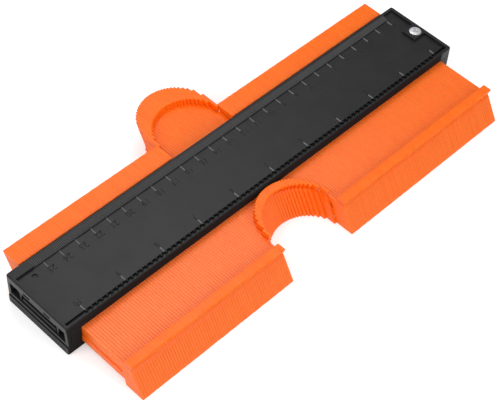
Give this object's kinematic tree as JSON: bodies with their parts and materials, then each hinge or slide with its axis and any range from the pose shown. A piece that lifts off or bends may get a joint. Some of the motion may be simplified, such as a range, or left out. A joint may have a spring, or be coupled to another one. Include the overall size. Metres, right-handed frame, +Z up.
{
  "type": "contour gauge",
  "caption": "Wide plastic contour gauge: thin sliding leaves clamped in a two-part ruler body, pressed into a round outline at the middle.",
  "frame": {"origin": "centre of the body's flat bottom face", "axes": "+X along the body towards the tension screw, +Y to the side where the pressed leaves bulge out, +Z up through the ruler face"},
  "size_m": [0.2784, 0.1289, 0.0212],
  "materials": {
    "black_cover": "satin",
    "orange_leaf": "satin",
    "strip_rubber": "matte",
    "steel_fixing": "bright"
  },
  "bodies": {
    "gauge_body": {"upper_cover": "black_cover", "lower_cover": "black_cover", "upper_friction_strip": "strip_rubber", "lower_friction_strip": "strip_rubber", "captive_nut": "steel_fixing"},
    "tension_screw": {"tension_screw": "steel_fixing"},
    "leaves_left_01": {"leaves_left_01": "orange_leaf"},
    "leaves_left_02": {"leaves_left_02": "orange_leaf"},
    "leaves_left_03": {"leaves_left_03": "orange_leaf"},
    "leaves_left_04": {"leaves_left_04": "orange_leaf"},
    "leaves_left_05": {"leaves_left_05": "orange_leaf"},
    "leaves_left_06": {"leaves_left_06": "orange_leaf"},
    "leaves_left_07": {"leaves_left_07": "orange_leaf"},
    "leaves_left_08": {"leaves_left_08": "orange_leaf"},
    "leaves_left_09": {"leaves_left_09": "orange_leaf"},
    "leaves_left_10": {"leaves_left_10": "orange_leaf"},
    "leaf_pressed_01": {"leaf_pressed_01": "orange_leaf"},
    "leaf_pressed_02": {"leaf_pressed_02": "orange_leaf"},
    "leaf_pressed_03": {"leaf_pressed_03": "orange_leaf"},
    "leaf_pressed_04": {"leaf_pressed_04": "orange_leaf"},
    "leaf_pressed_05": {"leaf_pressed_05": "orange_leaf"},
    "leaf_pressed_06": {"leaf_pressed_06": "orange_leaf"},
    "leaf_pressed_07": {"leaf_pressed_07": "orange_leaf"},
    "leaf_pressed_08": {"leaf_pressed_08": "orange_leaf"},
    "leaf_pressed_09": {"leaf_pressed_09": "orange_leaf"},
    "leaf_pressed_10": {"leaf_pressed_10": "orange_leaf"},
    "leaf_pressed_11": {"leaf_pressed_11": "orange_leaf"},
    "leaf_pressed_12": {"leaf_pressed_12": "orange_leaf"},
    "leaf_pressed_13": {"leaf_pressed_13": "orange_leaf"},
    "leaf_pressed_14": {"leaf_pressed_14": "orange_leaf"},
    "leaf_pressed_15": {"leaf_pressed_15": "orange_leaf"},
    "leaf_pressed_16": {"leaf_pressed_16": "orange_leaf"},
    "leaf_pressed_17": {"leaf_pressed_17": "orange_leaf"},
    "leaf_pressed_18": {"leaf_pressed_18": "orange_leaf"},
    "leaf_pressed_19": {"leaf_pressed_19": "orange_leaf"},
    "leaf_pressed_20": {"leaf_pressed_20": "orange_leaf"},
    "leaf_pressed_21": {"leaf_pressed_21": "orange_leaf"},
    "leaf_pressed_22": {"leaf_pressed_22": "orange_leaf"},
    "leaf_pressed_23": {"leaf_pressed_23": "orange_leaf"},
    "leaf_pressed_24": {"leaf_pressed_24": "orange_leaf"},
    "leaf_pressed_25": {"leaf_pressed_25": "orange_leaf"},
    "leaf_pressed_26": {"leaf_pressed_26": "orange_leaf"},
    "leaf_pressed_27": {"leaf_pressed_27": "orange_leaf"},
    "leaf_pressed_28": {"leaf_pressed_28": "orange_leaf"},
    "leaves_right_01": {"leaves_right_01": "orange_leaf"},
    "leaves_right_02": {"leaves_right_02": "orange_leaf"},
    "leaves_right_03": {"leaves_right_03": "orange_leaf"},
    "leaves_right_04": {"leaves_right_04": "orange_leaf"},
    "leaves_right_05": {"leaves_right_05": "orange_leaf"},
    "leaves_right_06": {"leaves_right_06": "orange_leaf"},
    "leaves_right_07": {"leaves_right_07": "orange_leaf"},
    "leaves_right_08": {"leaves_right_08": "orange_leaf"},
    "leaves_right_09": {"leaves_right_09": "orange_leaf"},
    "leaves_right_10": {"leaves_right_10": "orange_leaf"},
    "leaves_right_11": {"leaves_right_11": "orange_leaf"}
  },
  "joints": [
    {"name": "screw_turn", "type": "hinge", "parent": "gauge_body", "child": "tension_screw", "pos_m": [0.13435, 0, 0.0212], "axis": [0, 0, 1], "range_deg": [-180, 180]},
    {"name": "leaves_left_01_slide", "type": "slide", "parent": "gauge_body", "child": "leaves_left_01", "axis": [0, 1, 0], "range_m": [-0.0003, 0.0293]},
    {"name": "leaves_left_02_slide", "type": "slide", "parent": "gauge_body", "child": "leaves_left_02", "axis": [0, 1, 0], "range_m": [-0.0003, 0.0293]},
    {"name": "leaves_left_03_slide", "type": "slide", "parent": "gauge_body", "child": "leaves_left_03", "axis": [0, 1, 0], "range_m": [-0.0003, 0.0293]},
    {"name": "leaves_left_04_slide", "type": "slide", "parent": "gauge_body", "child": "leaves_left_04", "axis": [0, 1, 0], "range_m": [-0.0003, 0.0293]},
    {"name": "leaves_left_05_slide", "type": "slide", "parent": "gauge_body", "child": "leaves_left_05", "axis": [0, 1, 0], "range_m": [-0.0003, 0.0293]},
    {"name": "leaves_left_06_slide", "type": "slide", "parent": "gauge_body", "child": "leaves_left_06", "axis": [0, 1, 0], "range_m": [-0.0003, 0.0293]},
    {"name": "leaves_left_07_slide", "type": "slide", "parent": "gauge_body", "child": "leaves_left_07", "axis": [0, 1, 0], "range_m": [-0.0003, 0.0293]},
    {"name": "leaves_left_08_slide", "type": "slide", "parent": "gauge_body", "child": "leaves_left_08", "axis": [0, 1, 0], "range_m": [-0.0003, 0.0293]},
    {"name": "leaves_left_09_slide", "type": "slide", "parent": "gauge_body", "child": "leaves_left_09", "axis": [0, 1, 0], "range_m": [-0.0003, 0.0293]},
    {"name": "leaves_left_10_slide", "type": "slide", "parent": "gauge_body", "child": "leaves_left_10", "axis": [0, 1, 0], "range_m": [-0.0003, 0.0293]},
    {"name": "leaf_pressed_01_slide", "type": "slide", "parent": "gauge_body", "child": "leaf_pressed_01", "axis": [0, 1, 0], "range_m": [-0.01106, 0.01854]},
    {"name": "leaf_pressed_02_slide", "type": "slide", "parent": "gauge_body", "child": "leaf_pressed_02", "axis": [0, 1, 0], "range_m": [-0.01671, 0.01289]},
    {"name": "leaf_pressed_03_slide", "type": "slide", "parent": "gauge_body", "child": "leaf_pressed_03", "axis": [0, 1, 0], "range_m": [-0.01964, 0.00996]},
    {"name": "leaf_pressed_04_slide", "type": "slide", "parent": "gauge_body", "child": "leaf_pressed_04", "axis": [0, 1, 0], "range_m": [-0.02178, 0.00782]},
    {"name": "leaf_pressed_05_slide", "type": "slide", "parent": "gauge_body", "child": "leaf_pressed_05", "axis": [0, 1, 0], "range_m": [-0.02346, 0.00614]},
    {"name": "leaf_pressed_06_slide", "type": "slide", "parent": "gauge_body", "child": "leaf_pressed_06", "axis": [0, 1, 0], "range_m": [-0.02483, 0.00477]},
    {"name": "leaf_pressed_07_slide", "type": "slide", "parent": "gauge_body", "child": "leaf_pressed_07", "axis": [0, 1, 0], "range_m": [-0.02596, 0.00364]},
    {"name": "leaf_pressed_08_slide", "type": "slide", "parent": "gauge_body", "child": "leaf_pressed_08", "axis": [0, 1, 0], "range_m": [-0.02689, 0.00271]},
    {"name": "leaf_pressed_09_slide", "type": "slide", "parent": "gauge_body", "child": "leaf_pressed_09", "axis": [0, 1, 0], "range_m": [-0.02765, 0.00195]},
    {"name": "leaf_pressed_10_slide", "type": "slide", "parent": "gauge_body", "child": "leaf_pressed_10", "axis": [0, 1, 0], "range_m": [-0.02826, 0.00134]},
    {"name": "leaf_pressed_11_slide", "type": "slide", "parent": "gauge_body", "child": "leaf_pressed_11", "axis": [0, 1, 0], "range_m": [-0.02874, 0.00086]},
    {"name": "leaf_pressed_12_slide", "type": "slide", "parent": "gauge_body", "child": "leaf_pressed_12", "axis": [0, 1, 0], "range_m": [-0.02909, 0.00051]},
    {"name": "leaf_pressed_13_slide", "type": "slide", "parent": "gauge_body", "child": "leaf_pressed_13", "axis": [0, 1, 0], "range_m": [-0.02932, 0.00028]},
    {"name": "leaf_pressed_14_slide", "type": "slide", "parent": "gauge_body", "child": "leaf_pressed_14", "axis": [0, 1, 0], "range_m": [-0.02944, 0.00016]},
    {"name": "leaf_pressed_15_slide", "type": "slide", "parent": "gauge_body", "child": "leaf_pressed_15", "axis": [0, 1, 0], "range_m": [-0.02944, 0.00016]},
    {"name": "leaf_pressed_16_slide", "type": "slide", "parent": "gauge_body", "child": "leaf_pressed_16", "axis": [0, 1, 0], "range_m": [-0.02932, 0.00028]},
    {"name": "leaf_pressed_17_slide", "type": "slide", "parent": "gauge_body", "child": "leaf_pressed_17", "axis": [0, 1, 0], "range_m": [-0.02909, 0.00051]},
    {"name": "leaf_pressed_18_slide", "type": "slide", "parent": "gauge_body", "child": "leaf_pressed_18", "axis": [0, 1, 0], "range_m": [-0.02874, 0.00086]},
    {"name": "leaf_pressed_19_slide", "type": "slide", "parent": "gauge_body", "child": "leaf_pressed_19", "axis": [0, 1, 0], "range_m": [-0.02826, 0.00134]},
    {"name": "leaf_pressed_20_slide", "type": "slide", "parent": "gauge_body", "child": "leaf_pressed_20", "axis": [0, 1, 0], "range_m": [-0.02765, 0.00195]},
    {"name": "leaf_pressed_21_slide", "type": "slide", "parent": "gauge_body", "child": "leaf_pressed_21", "axis": [0, 1, 0], "range_m": [-0.02689, 0.00271]},
    {"name": "leaf_pressed_22_slide", "type": "slide", "parent": "gauge_body", "child": "leaf_pressed_22", "axis": [0, 1, 0], "range_m": [-0.02596, 0.00364]},
    {"name": "leaf_pressed_23_slide", "type": "slide", "parent": "gauge_body", "child": "leaf_pressed_23", "axis": [0, 1, 0], "range_m": [-0.02483, 0.00477]},
    {"name": "leaf_pressed_24_slide", "type": "slide", "parent": "gauge_body", "child": "leaf_pressed_24", "axis": [0, 1, 0], "range_m": [-0.02346, 0.00614]},
    {"name": "leaf_pressed_25_slide", "type": "slide", "parent": "gauge_body", "child": "leaf_pressed_25", "axis": [0, 1, 0], "range_m": [-0.02178, 0.00782]},
    {"name": "leaf_pressed_26_slide", "type": "slide", "parent": "gauge_body", "child": "leaf_pressed_26", "axis": [0, 1, 0], "range_m": [-0.01964, 0.00996]},
    {"name": "leaf_pressed_27_slide", "type": "slide", "parent": "gauge_body", "child": "leaf_pressed_27", "axis": [0, 1, 0], "range_m": [-0.01671, 0.01289]},
    {"name": "leaf_pressed_28_slide", "type": "slide", "parent": "gauge_body", "child": "leaf_pressed_28", "axis": [0, 1, 0], "range_m": [-0.01106, 0.01854]},
    {"name": "leaves_right_01_slide", "type": "slide", "parent": "gauge_body", "child": "leaves_right_01", "axis": [0, 1, 0], "range_m": [-0.0003, 0.0293]},
    {"name": "leaves_right_02_slide", "type": "slide", "parent": "gauge_body", "child": "leaves_right_02", "axis": [0, 1, 0], "range_m": [-0.0003, 0.0293]},
    {"name": "leaves_right_03_slide", "type": "slide", "parent": "gauge_body", "child": "leaves_right_03", "axis": [0, 1, 0], "range_m": [-0.0003, 0.0293]},
    {"name": "leaves_right_04_slide", "type": "slide", "parent": "gauge_body", "child": "leaves_right_04", "axis": [0, 1, 0], "range_m": [-0.0003, 0.0293]},
    {"name": "leaves_right_05_slide", "type": "slide", "parent": "gauge_body", "child": "leaves_right_05", "axis": [0, 1, 0], "range_m": [-0.0003, 0.0293]},
    {"name": "leaves_right_06_slide", "type": "slide", "parent": "gauge_body", "child": "leaves_right_06", "axis": [0, 1, 0], "range_m": [-0.0003, 0.0293]},
    {"name": "leaves_right_07_slide", "type": "slide", "parent": "gauge_body", "child": "leaves_right_07", "axis": [0, 1, 0], "range_m": [-0.0003, 0.0293]},
    {"name": "leaves_right_08_slide", "type": "slide", "parent": "gauge_body", "child": "leaves_right_08", "axis": [0, 1, 0], "range_m": [-0.0003, 0.0293]},
    {"name": "leaves_right_09_slide", "type": "slide", "parent": "gauge_body", "child": "leaves_right_09", "axis": [0, 1, 0], "range_m": [-0.0003, 0.0293]},
    {"name": "leaves_right_10_slide", "type": "slide", "parent": "gauge_body", "child": "leaves_right_10", "axis": [0, 1, 0], "range_m": [-0.0003, 0.0293]},
    {"name": "leaves_right_11_slide", "type": "slide", "parent": "gauge_body", "child": "leaves_right_11", "axis": [0, 1, 0], "range_m": [-0.0003, 0.0293]}
  ]
}
